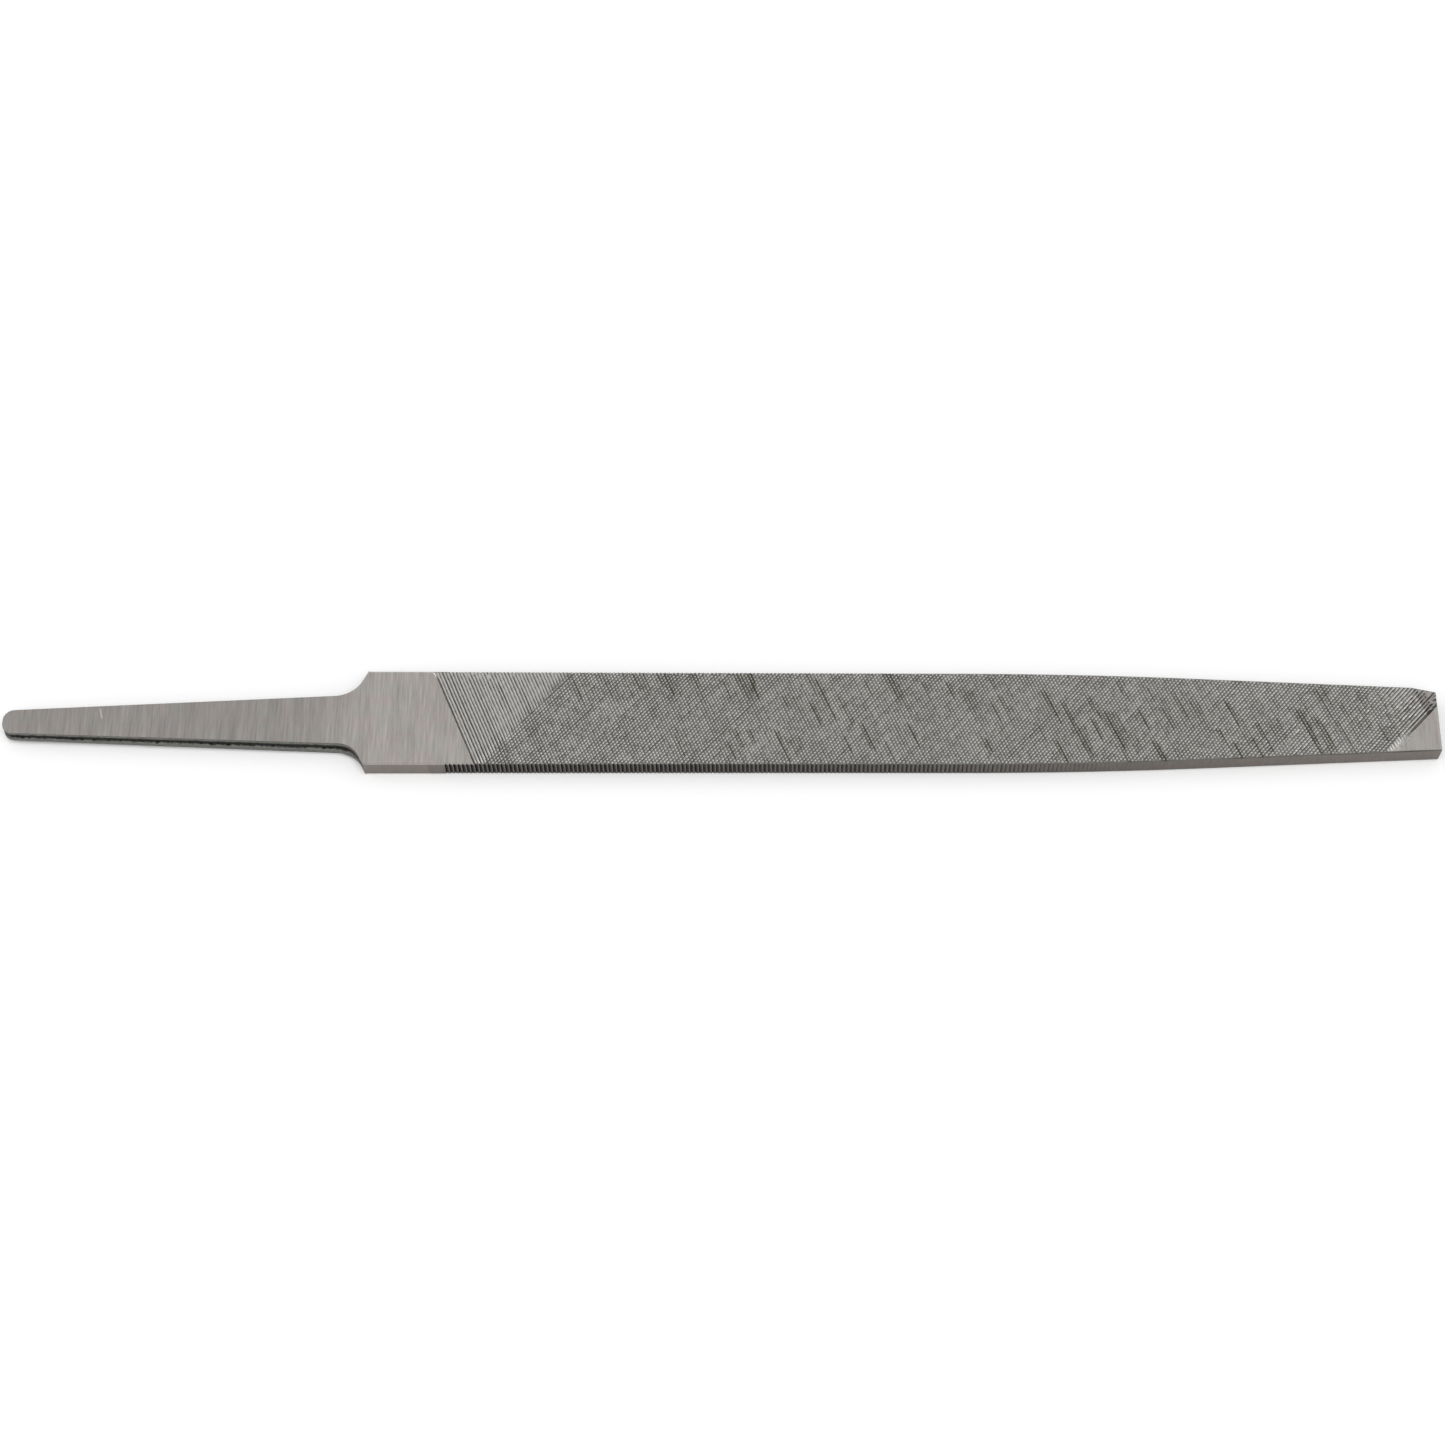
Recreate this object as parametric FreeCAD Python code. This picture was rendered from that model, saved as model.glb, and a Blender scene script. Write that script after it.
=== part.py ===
"""Flat file for metalwork, 200 mm long, with a bare tang and no handle.

The real file is one bar of hardened steel. It is blanked to its outline, its faces and edges are ground,
its corners are broken, and teeth are cut into its edges and faces. The model follows those steps on one
blank and then parts the blank into the zones that a file maker names: tang, heel, body and point. The
zones meet face to face, and each is written as one solid.

Frame: millimetres. +X runs from the tang to the point and +Z out of the upper face. The file lies on its
lower face at z = 0, and the origin is under the middle of its overall length and width. Distances along
the file are measured from the shoulder, positive towards the point.

The edges' teeth are cut here. The faces carry two crossing cuts, thousands of small diamonds, which are
left to the visual model: here each face is the plane that the tips of its teeth touch.
"""
import FreeCAD
import Part
import math
import os

# Body
BODY_LENGTH = 200.0
HEEL_WIDTH = 19.6
BELLY_NARROWING = 0.65  # how much narrower the file is at mid belly, where the straight lines would meet
POINT_NARROWING = 6.7  # and at the point's end
THICKNESS = 4.2
BELLY_TO_POINT = 66.6  # from the middle of the belly's curve to the point's end
BELLY_CURVE = 43.0  # length of that curve
CORNER_BEVEL = 0.35  # 45 degree break along the four long corners
NOSE_LENGTH = 4.4  # the far corner of the point is dressed off over this length
NOSE_DEPTH = 0.75

# Zones along the body
HEEL_LENGTH = 12.0  # bare, ground length that no tooth reaches
POINT_LENGTH = 88.0  # the zone that narrows, kept apart from the parallel body

# Tang
TANG_LENGTH = 68.4
TANG_ROOT_WIDTH = 10.45  # at the shoulder line, if the shoulder curves were not there
TANG_END_WIDTH = 4.7
TANG_END_THICKNESS = 3.1
TANG_END_RADIUS = 0.42 * TANG_END_WIDTH
TANG_FLAT = 6.0  # the tang keeps the body's thickness for this length and then thins to its end
TANG_LEAN = 0.43  # how far the tang stands towards the near edge at the shoulder
TANG_END_LEAN = 0.75  # and at its end
SHOULDER_ANGLE = 62.0  # between the shoulder's slope and the file's axis, in degrees
SHOULDER_CURVE = 0.57  # share of the shoulder's slope that its curve takes up

# Blanking leaves a groove and, below it, a ridge along the sides of the tang and the shoulders
SHEAR_GROOVE_DEPTH = 0.2
SHEAR_GROOVE_LEVELS = (0.43 * THICKNESS, 0.5 * THICKNESS)  # heights above the lower face
SHEAR_RIDGE = 0.35  # how far the ridge stands out
SHEAR_RIDGE_LEVELS = (0.22 * THICKNESS, 0.43 * THICKNESS)
SHEAR_RIDGE_CURVE = 0.88  # share of the shoulder's slope that the ridge's wider curve takes up
SHEAR_STOP = 0.9  # the groove ends this far short of the heel's corner

# Teeth of the edges: one straight cut, square to the edge
EDGE_PITCH = 0.8
EDGE_DEPTH = 0.26
EDGE_LAND = 0.06  # width left flat on each crest
EDGE_RAKE = 15.0  # lean of the cutting face from square, in degrees
EDGE_CUT_START = HEEL_LENGTH + 3.2
EDGE_FADE_START = 60.0  # the chisel bears less and less on the narrowing edge from here
EDGE_BARE_LENGTH = 48.0  # from the last stroke, still just marking the edge, to the point's end
EDGE_FADE_REST = 8.0  # length past the last stroke after which a gap would have no depth left

MARGIN = 2.0  # how far a cutting tool stands out of the solid
SHOULDER_X = (TANG_LENGTH - BODY_LENGTH) / 2  # puts the origin under the middle of the overall length
BELLY_WIDTH = HEEL_WIDTH - BELLY_NARROWING
POINT_WIDTH = HEEL_WIDTH - POINT_NARROWING
BELLY_STATION = BODY_LENGTH - BELLY_TO_POINT
EDGE_CUT_END = BODY_LENGTH - EDGE_BARE_LENGTH
EDGE_FADE_END = EDGE_CUT_END + EDGE_FADE_REST


def vector(x, y, z=0.0):
    return FreeCAD.Vector(x, y, z)


def fillet(before, corner, after, reach):
    """Start, middle and end of the arc that rounds a corner, and its radius.

    The arc touches both straight lines at the distance reach from the corner.
    """
    back = (before - corner).normalize()
    ahead = (after - corner).normalize()
    half = back.getAngle(ahead) / 2
    radius = reach * math.tan(half)
    middle = (back + ahead).normalize() * (radius / math.sin(half) - radius)
    return corner + back * reach, corner + middle, corner + ahead * reach, radius


def rounded_outline(corners):
    """Closed wire through (x, y, reach) corners. A reach of 0 keeps the corner sharp."""
    points = [vector(x, y) for x, y, _ in corners]
    turns = []
    for i, (_, _, reach) in enumerate(corners):
        before = points[i - 1]
        after = points[(i + 1) % len(points)]
        turns.append(fillet(before, points[i], after, reach)[:3] if reach else (points[i],))
    edges = []
    for turn, following in zip(turns, turns[1:] + turns[:1]):
        if len(turn) == 3:
            edges.append(Part.Arc(*turn).toShape())
        edges.append(Part.makeLine(turn[-1], following[0]))
    return Part.Wire(edges)


def slab(wire, low, high):
    """Solid of an outline between two heights."""
    face = Part.Face(wire)
    face.translate(vector(0, 0, low))
    return face.extrude(vector(0, 0, high - low))


def box(start, end, low, high):
    """Box across the full width between two distances from the shoulder and two heights."""
    width = HEEL_WIDTH + 2 * MARGIN
    return Part.makeBox(end - start, width, high - low, vector(SHOULDER_X + start, -width / 2, low))


def tang_edge(side, distance, growth):
    """Y of the tang's edge on one side, with its sides moved out by a growth."""
    share = -distance / TANG_LENGTH
    lean = TANG_LEAN + (TANG_END_LEAN - TANG_LEAN) * share
    width = TANG_ROOT_WIDTH + (TANG_END_WIDTH - TANG_ROOT_WIDTH) * share
    return side * (width / 2 + growth) - lean


def shoulder_corner(side, growth, curve):
    """Where the tang's edge and the shoulder's slope would meet, and the reach of their curve."""
    angle = math.radians(SHOULDER_ANGLE)
    root = abs(tang_edge(side, 0, growth))
    narrowing = (root - abs(tang_edge(side, -TANG_LENGTH, growth))) / TANG_LENGTH
    distance = (HEEL_WIDTH / 2 - root) / (math.tan(angle) - narrowing)
    y = HEEL_WIDTH / 2 - distance * math.tan(angle)
    return SHOULDER_X - distance, side * y, curve * distance / math.cos(angle)


def file_outline(growth=0.0, curve=SHOULDER_CURVE):
    """Outline of the blank seen from above, or of the ridge along the tang, which is wider by a growth."""
    tang_end = SHOULDER_X - TANG_LENGTH
    point_end = SHOULDER_X + BODY_LENGTH
    belly = SHOULDER_X + BELLY_STATION
    narrowing = (BELLY_WIDTH - POINT_WIDTH) / 2 / (BODY_LENGTH - BELLY_STATION)
    near = [
        (tang_end, tang_edge(-1, -TANG_LENGTH, growth), TANG_END_RADIUS),
        shoulder_corner(-1, growth, curve),
        (SHOULDER_X, -HEEL_WIDTH / 2, 0),
        (belly, -BELLY_WIDTH / 2, BELLY_CURVE / 2),
        (point_end, -POINT_WIDTH / 2, 0),
    ]
    far = [
        (point_end, POINT_WIDTH / 2 - NOSE_DEPTH, 0),
        (point_end - NOSE_LENGTH, POINT_WIDTH / 2 + narrowing * NOSE_LENGTH, 0),
        (belly, BELLY_WIDTH / 2, BELLY_CURVE / 2),
        (SHOULDER_X, HEEL_WIDTH / 2, 0),
        shoulder_corner(1, growth, curve),
        (tang_end, tang_edge(1, -TANG_LENGTH, growth), TANG_END_RADIUS),
    ]
    return rounded_outline(near + far)


def half_width(distance):
    """Half of the body's width at a distance from the shoulder: a line, the belly's arc and a line."""
    heel = vector(0, HEEL_WIDTH / 2)
    belly = vector(BELLY_STATION, BELLY_WIDTH / 2)
    point = vector(BODY_LENGTH, POINT_WIDTH / 2)
    start, middle, end, radius = fillet(heel, belly, point, BELLY_CURVE / 2)
    if distance <= start.x:
        return heel.y + (belly.y - heel.y) * distance / BELLY_STATION
    if distance >= end.x:
        return point.y + (belly.y - point.y) * (BODY_LENGTH - distance) / (BODY_LENGTH - BELLY_STATION)
    centre = middle + (middle - belly).normalize() * radius
    return centre.y + math.sqrt(radius ** 2 - (distance - centre.x) ** 2)


def bevel_the_corners(blank):
    """Breaks the long corners of the body, from the shoulder to the point."""
    long_edges = []
    for edge in blank.Edges:
        ends = [vertex.Point for vertex in edge.Vertexes]
        on_the_body = min(end.x for end in ends) > SHOULDER_X - CORNER_BEVEL
        on_a_face = abs(ends[0].z - ends[-1].z) < 1e-6
        runs_along = abs(ends[0].x - ends[-1].x) > NOSE_LENGTH / 2
        if on_the_body and on_a_face and runs_along:
            long_edges.append(edge)
    return blank.makeChamfer(CORNER_BEVEL, long_edges)


def shear_groove():
    """The groove that blanking leaves round the tang and both shoulders, as a cutting tool."""
    low, high = SHEAR_GROOVE_LEVELS
    core = slab(file_outline().makeOffset2D(-SHEAR_GROOVE_DEPTH), low - MARGIN, high + MARGIN)
    return box(-TANG_LENGTH - MARGIN, -SHEAR_STOP, low, high).cut(core)


def shear_ridge():
    """The ridge below that groove. It dies out where the shoulder's slope reaches the heel's corner."""
    ridge = slab(file_outline(SHEAR_RIDGE, SHEAR_RIDGE_CURVE), *SHEAR_RIDGE_LEVELS)
    return ridge.common(box(-TANG_LENGTH, HEEL_LENGTH / 2, 0.0, THICKNESS))


def tang_thinning():
    """Two wedges that grind the tang's faces down to the thickness of its end, as a cutting tool."""
    end = TANG_LENGTH + MARGIN
    slope = (THICKNESS - TANG_END_THICKNESS) / 2 / (TANG_LENGTH - TANG_FLAT)
    width = HEEL_WIDTH + 2 * MARGIN
    wedges = []
    for level, inward in ((0.0, 1), (THICKNESS, -1)):
        corners = [
            (TANG_FLAT, level),
            (end, level + inward * slope * (end - TANG_FLAT)),
            (end, level - inward * MARGIN),
            (TANG_FLAT, level - inward * MARGIN),
        ]
        points = [vector(SHOULDER_X - distance, -width / 2, height) for distance, height in corners]
        section = Part.Face(Part.makePolygon(points + points[:1]))
        wedges.append(section.extrude(vector(0, width, 0)))
    return Part.makeCompound(wedges)


def edge_tooth_gap(distance, side):
    """The gap in front of one crest of an edge's cut, as a cutting tool."""
    bearing = min(1.0, (EDGE_FADE_END - distance) / (EDGE_FADE_END - EDGE_FADE_START))
    depth = EDGE_DEPTH * bearing
    next_crest = distance + EDGE_PITCH - EDGE_LAND
    root = distance + depth * math.tan(math.radians(EDGE_RAKE))
    corners = [
        (distance, half_width(distance) + MARGIN),
        (distance, half_width(distance)),
        (root, half_width(distance) - depth),
        (next_crest, half_width(next_crest)),
        (next_crest, half_width(next_crest) + MARGIN),
    ]
    points = [vector(SHOULDER_X + x, side * y, -MARGIN) for x, y in corners]
    section = Part.Face(Part.makePolygon(points + points[:1]))
    return section.extrude(vector(0, 0, THICKNESS + 2 * MARGIN))


def edge_cut(side):
    """All the gaps of one edge's cut, as one cutting tool."""
    count = int((EDGE_CUT_END - EDGE_CUT_START) / EDGE_PITCH)
    gaps = [edge_tooth_gap(EDGE_CUT_START + i * EDGE_PITCH, side) for i in range(count)]
    return Part.makeCompound(gaps)


def file_blank():
    """The whole file in one piece, with the teeth of its edges."""
    blank = bevel_the_corners(slab(file_outline(), 0.0, THICKNESS))
    blank = blank.cut(shear_groove()).fuse(shear_ridge()).removeSplitter()
    blank = blank.cut(tang_thinning())
    for side in (-1, 1):
        blank = blank.cut(edge_cut(side))
    return blank


def zones():
    """Name and both ends of each zone, measured from the shoulder."""
    return {
        "tang": (-TANG_LENGTH - MARGIN, 0.0),
        "heel": (0.0, HEEL_LENGTH),
        "body": (HEEL_LENGTH, BODY_LENGTH - POINT_LENGTH),
        "point": (BODY_LENGTH - POINT_LENGTH, BODY_LENGTH + MARGIN),
    }


def main():
    os.makedirs("parts", exist_ok=True)
    blank = file_blank()
    for name, (start, end) in zones().items():
        zone = blank.common(box(start, end, -MARGIN, THICKNESS + MARGIN))
        solid = zone.Solids[0]
        print(name, "solids", len(zone.Solids), "valid", solid.isValid(), "volume", round(solid.Volume, 1))
        solid.exportStep(f"parts/{name}.step")


main()
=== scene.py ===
"""Flat file for metalwork: its looks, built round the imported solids.

The file lies along X with its tang to the left and rests on z = 0. Sizes are in metres. Distances along the
file are measured from the shoulder, where the tang meets the body, and are positive towards the point.
"""

import math

import bpy
import numpy as np
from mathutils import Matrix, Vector


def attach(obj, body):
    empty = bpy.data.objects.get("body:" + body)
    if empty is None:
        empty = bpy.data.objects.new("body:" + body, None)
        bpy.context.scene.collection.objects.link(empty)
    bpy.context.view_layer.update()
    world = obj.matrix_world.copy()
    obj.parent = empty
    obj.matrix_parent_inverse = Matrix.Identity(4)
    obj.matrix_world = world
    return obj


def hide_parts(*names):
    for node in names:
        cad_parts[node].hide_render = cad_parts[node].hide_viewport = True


bl_info = {
    "name": "Flat file",
    "version": (1, 0, 0),
    "blender": (4, 5, 0),
    "location": "3D View > Sidebar > Flat file",
    "description": "Builds a flat file with crossing cuts on its faces, toothed edges and a bare tang",
    "category": "Add Mesh",
}

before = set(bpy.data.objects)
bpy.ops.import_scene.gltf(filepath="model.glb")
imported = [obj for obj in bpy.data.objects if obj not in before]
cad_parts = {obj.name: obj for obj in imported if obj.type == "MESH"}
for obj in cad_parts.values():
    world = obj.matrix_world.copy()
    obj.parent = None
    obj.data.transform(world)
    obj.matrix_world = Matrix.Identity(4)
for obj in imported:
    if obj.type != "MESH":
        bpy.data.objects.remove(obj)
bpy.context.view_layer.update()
MM = 0.001


class FlatFileSizes(bpy.types.PropertyGroup):
    """Sizes of the blank, before any tooth is cut."""

    body_length: bpy.props.FloatProperty(
        name="Body length", description="From the shoulder to the point",
        default=0.2, unit="LENGTH", precision=5)
    tang_length: bpy.props.FloatProperty(
        name="Tang length", description="From the shoulder to the tang's end",
        default=0.0684, unit="LENGTH", precision=5)
    heel_width: bpy.props.FloatProperty(
        name="Heel width", description="Width at the shoulder", default=0.0196, unit="LENGTH", precision=5)
    thickness: bpy.props.FloatProperty(
        name="Thickness", description="Thickness of the body", default=0.0042, unit="LENGTH", precision=5)
    bevel: bpy.props.FloatProperty(
        name="Bevel", description="45 degree break along the long corners",
        default=0.00035, unit="LENGTH", precision=5)
    heel_length: bpy.props.FloatProperty(
        name="Heel length", description="Bare length that no tooth reaches",
        default=0.012, unit="LENGTH", precision=5)
    shoulder_angle: bpy.props.FloatProperty(
        name="Shoulder angle", description="Between the shoulder's slope and the length",
        default=math.radians(62), subtype="ANGLE")
    tang_root_width: bpy.props.FloatProperty(
        name="Tang root width", description="Width of the tang carried on to the shoulder",
        default=0.01045, unit="LENGTH", precision=5)
    tang_end_width: bpy.props.FloatProperty(
        name="Tang end width", description="Width of the tang at its end",
        default=0.0047, unit="LENGTH", precision=5)
    tang_end_thickness: bpy.props.FloatProperty(
        name="Tang end thickness", description="Thickness of the tang at its end",
        default=0.0031, unit="LENGTH", precision=5)
    shear_ridge: bpy.props.FloatProperty(
        name="Shear ridge", description="How far the sheared ridge stands out of the tang's sides",
        default=0.00035, unit="LENGTH", precision=5)


class FlatFileTeeth(bpy.types.PropertyGroup):
    """The crossing cuts of the faces and the single cut of the edges."""

    up_pitch: bpy.props.FloatProperty(
        name="Up-cut pitch", description="Along the length, from crest to crest",
        default=0.0006525, unit="LENGTH", precision=6)
    up_depth: bpy.props.FloatProperty(
        name="Up-cut depth", description="From crest to root", default=0.00025, unit="LENGTH", precision=6)
    up_lean: bpy.props.FloatProperty(
        name="Up-cut lean", description="Travel along the length for each unit across it",
        default=-0.4348, subtype="FACTOR")
    over_pitch: bpy.props.FloatProperty(
        name="Over-cut pitch", description="Along the length, from crest to crest",
        default=0.000791, unit="LENGTH", precision=6)
    over_depth: bpy.props.FloatProperty(
        name="Over-cut depth", description="From crest to root", default=0.0002, unit="LENGTH", precision=6)
    over_lean: bpy.props.FloatProperty(
        name="Over-cut lean", description="Travel along the length for each unit across it",
        default=0.9232, subtype="FACTOR")
    edge_pitch: bpy.props.FloatProperty(
        name="Edge pitch", description="Along the length, from crest to crest", default=0.0008,
        unit="LENGTH", precision=6)
    edge_depth: bpy.props.FloatProperty(
        name="Edge depth", description="From crest to root", default=0.00026, unit="LENGTH", precision=6)


class FlatFileColours(bpy.types.PropertyGroup):
    """Colours of the steel's finishes, of the shade painted on the gaps and sides, and of the studio."""

    ground: bpy.props.FloatVectorProperty(
        name="Ground steel", description="Tang and heel", default=(0.445, 0.418, 0.398), subtype="COLOR")
    crest: bpy.props.FloatVectorProperty(
        name="Crests", description="Tips and flanks of the teeth",
        default=(0.8, 0.79, 0.765), subtype="COLOR")
    # painted shade: the gaps' colour darkens the bottoms of the teeth's gaps for the shade that falls in them
    gap: bpy.props.FloatVectorProperty(
        name="Gaps", description="Bottoms of the gaps between the teeth",
        default=(0.18, 0.175, 0.162), subtype="COLOR")
    oil: bpy.props.FloatVectorProperty(
        name="Oil", description="Oil left where the chisel bit deeper",
        default=(0.3, 0.28, 0.16), subtype="COLOR")
    # painted shade: the side colour is much darker than the ground steel, for the little light that falls on the
    # sides, and brownish
    side: bpy.props.FloatVectorProperty(
        name="Edges", description="Edges of the body", default=(0.2, 0.178, 0.162), subtype="COLOR")
    sheared: bpy.props.FloatVectorProperty(
        name="Sheared steel", description="Sides of the tang", default=(0.17, 0.17, 0.158), subtype="COLOR")
    floor: bpy.props.FloatVectorProperty(
        name="Floor", description="The plain floor", default=(0.95, 0.95, 0.95), subtype="COLOR")


def sizes():
    return bpy.context.scene.flat_file_sizes


def teeth():
    return bpy.context.scene.flat_file_teeth


def colours():
    return bpy.context.scene.flat_file_colours


def shoulder_x():
    return (sizes().tang_length - sizes().body_length) / 2


# Outline of the blank

NOSE_LENGTH = 4.4 * MM  # the far corner of the point is dressed off over this length
NOSE_DEPTH = 0.75 * MM
BELLY_SHARE = 0.667  # share of the body's length at the middle of the belly's curve
BELLY_CURVE_SHARE = 0.215
BELLY_WIDTH_SHARE = 0.967
POINT_WIDTH_SHARE = 0.658


def half_width(distance):
    """Half of the body's width: a line, then an arc taken as a parabola, then a line.

    The width falls at a small slope up to the belly, the slope grows evenly over the belly's curve, and from
    there it stays at its larger value to the point.
    """
    s = sizes()
    heel = s.heel_width / 2
    belly = heel * BELLY_WIDTH_SHARE
    point = heel * POINT_WIDTH_SHARE
    station = s.body_length * BELLY_SHARE
    curve = s.body_length * BELLY_CURVE_SHARE
    first = (heel - belly) / station
    second = (belly - point) / (s.body_length - station)
    into = np.clip(distance - station + curve / 2, 0, curve)
    beyond = np.maximum(distance - station - curve / 2, 0)
    return heel - first * distance - (second - first) * (into ** 2 / (2 * curve) + beyond)


def nose_limit(distance):
    """Half width that the dressed-off far corner allows: a straight slope over the last few millimetres."""
    s = sizes()
    start = s.body_length - NOSE_LENGTH
    slope = (half_width(start) - half_width(s.body_length) + NOSE_DEPTH) / NOSE_LENGTH
    return half_width(start) - slope * (distance - start)


# Mesh making

def smooth_random(rng, positions, spacing):
    """Random values from -1 to 1, one for each spacing along a line, joined by straight lines."""
    low = positions.min() - spacing
    count = int((positions.max() - low) / spacing) + 3
    return np.interp(positions, low + spacing * np.arange(count), rng.uniform(-1, 1, count))


def grid_quads(rows, columns, wrap=False):
    """Corners of the quads of a grid numbered row by row. Wrap joins the last column to the first."""
    across = columns if wrap else columns - 1
    row, column = np.meshgrid(np.arange(rows - 1), np.arange(across), indexing="ij")
    after = (column + 1) % columns
    here = row * columns
    corners = [here + column, here + after, here + columns + after, here + columns + column]
    return np.stack(corners, -1).reshape(-1, 4)


def halved(quads):
    """Two triangles for each quad, so that every face is flat."""
    return np.concatenate([quads[:, (0, 1, 2)], quads[:, (0, 2, 3)]])


def make_object(name, points, faces, caps=()):
    """Mesh object from points, faces with equal numbers of corners and a few larger flat faces."""
    mesh = bpy.data.meshes.new(name)
    mesh.from_pydata(points.reshape(-1, 3), [], faces.tolist() + [list(cap) for cap in caps])
    mesh.validate()
    made = bpy.data.objects.new(name, mesh)
    bpy.context.scene.collection.objects.link(made)
    return made


def loft(name, sections):
    """Closed solid through sections that all have the same number of points, with a flat face at each end."""
    rows, columns, _ = sections.shape
    last = (rows - 1) * columns
    caps = [range(columns - 1, -1, -1), range(last, last + columns)]
    return make_object(name, sections, halved(grid_quads(rows, columns, wrap=True)), caps)


def sheet_tool(name, x, y, z):
    """Closed solid under a sheet of grid points: its sides meet in one point far below the file."""
    rows, columns = x.shape
    sheet = np.stack([x, y, z], -1).reshape(-1, 3)
    count = rows * columns
    ring = np.concatenate([
        np.arange(columns - 1),
        np.arange(rows - 1) * columns + columns - 1,
        count - 1 - np.arange(columns - 1),
        (rows - 1 - np.arange(rows - 1)) * columns,
    ])
    sides = np.stack([np.roll(ring, -1), ring, np.full(ring.size, count)], -1)
    below = sheet.mean(0) - (0, 0, TOOL_DEPTH)
    faces = np.concatenate([halved(grid_quads(rows, columns)), sides])
    return make_object(name, np.concatenate([sheet, [below]]), faces[:, ::-1])


def points_of(made):
    """Places of a mesh object's points, one row for each."""
    flat = np.empty(len(made.data.vertices) * 3)
    made.data.vertices.foreach_get("co", flat)
    return flat.reshape(-1, 3)


def move_points(made, points):
    made.data.vertices.foreach_set("co", points.ravel())
    made.data.update()


def intersect(piece, tools):
    """Keeps what the piece shares with every tool, as one mesh, and removes the tools.

    All the cuts are made at once, because a second cut of an already cut mesh drops some of its corners.
    """
    group = bpy.data.collections.new("tools")
    for tool in tools:
        group.objects.link(tool)
    step = piece.modifiers.new("cut", "BOOLEAN")
    step.operation = "INTERSECT"
    step.solver = "MANIFOLD"
    step.operand_type = "COLLECTION"
    step.collection = group
    shared = bpy.data.meshes.new_from_object(piece.evaluated_get(bpy.context.evaluated_depsgraph_get()))
    piece.modifiers.clear()
    blank = piece.data
    piece.data = shared
    bpy.data.meshes.remove(blank)
    for tool in tools:
        bpy.data.meshes.remove(tool.data)
    bpy.data.collections.remove(group)
    if not shared.polygons:
        raise RuntimeError(f"cutting {piece.name} left nothing")


# Teeth

LIFT = 0.02 * MM  # the cuts' crests stand this far over the face, so each tooth keeps a narrow ground land
TOOL_DEPTH = 500 * MM  # how far below the file the sides of a cutting tool meet
STROKE_DROP = 0.06 * MM  # length taken up by the steep front of a stroke
STROKE_SHARES = (0, 1, 0.7, 0.35)  # share of the depth at the crest, the root and two places on the climb
WANDER = 0.012 * MM  # spread of the strokes about their even spacing
UP_START = 16.45 * MM  # where the first and last strokes of each cut cross the middle of the width
UP_END = 198.6 * MM
OVER_START = 27.5 * MM
OVER_END = 196 * MM
SEED = 7
SPANS = 3  # lengths that the body and the point are each built in
SMALL_BITES = 70
SMALL_BITE_REACH = 130  # millimetres from the up-cut's end over which the small streaks thin out
SMALL_BITE_WIDTH = 0.7  # millimetres, one stroke
WIDE_BITE = 1  # millimetres along the file from which a streak takes in several strokes
CHISEL_REACH = 240 * MM  # length covered by the random tables
BITE_DEPTH = 0.35  # share by which a streak deepens the up-cut
PATCH_SPREAD = 0.06  # share by which both cuts' depths vary from patch to patch
PATCH_SIZE = 3 * MM
CHIP_DEPTH = 0.05 * MM  # most that a tooth's tip has lost
WOBBLE = 0.02 * MM  # how far the strokes stray from straight lines
WOBBLE_SIZE = 2 * MM
UP_BEARING_PLACES = (UP_START, OVER_START, UP_END - 9 * MM, UP_END)
UP_BEARING = (1.15, 0.95, 0.95, 0.25)  # share of the up-cut's depth at those places
OVER_RISE = 1.6 * MM  # length over which the over-cut reaches its depth
OVER_FIRST = 0.4  # share of it at the start
UP_PAST_OVER = 2.5 * MM  # past the over-cut the up-cut fades to its last share over this length
UP_LAST_SHARE = 0.12
LAST_GAP_DEPTH = 1.3  # the wide gap is deeper than the over-cut and fades out across the width
LAST_GAP_SIDE = -1.6 * MM
LAST_GAP_FAR = 20 * MM
LAST_GAP_FADE = 3.5 * MM
# Where the over-cut begins at several places across the width: the chisel's first strokes barely mark
OVER_BEGIN_ACROSS = np.array((-9.8, -8.6, -2.7, 0.5, 2.7, 7.0, 9.8)) * MM
OVER_BEGIN = np.array((30.4, 30.4, 29.6, 29.2, 29.4, 28.6, 28.8)) * MM
LAST_GAP = ((0.0, 0), (0.07, 1), (0.5, 1), (0.66, 0.4), (0.78, 0))  # the over-cut stops in one wide gap

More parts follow.
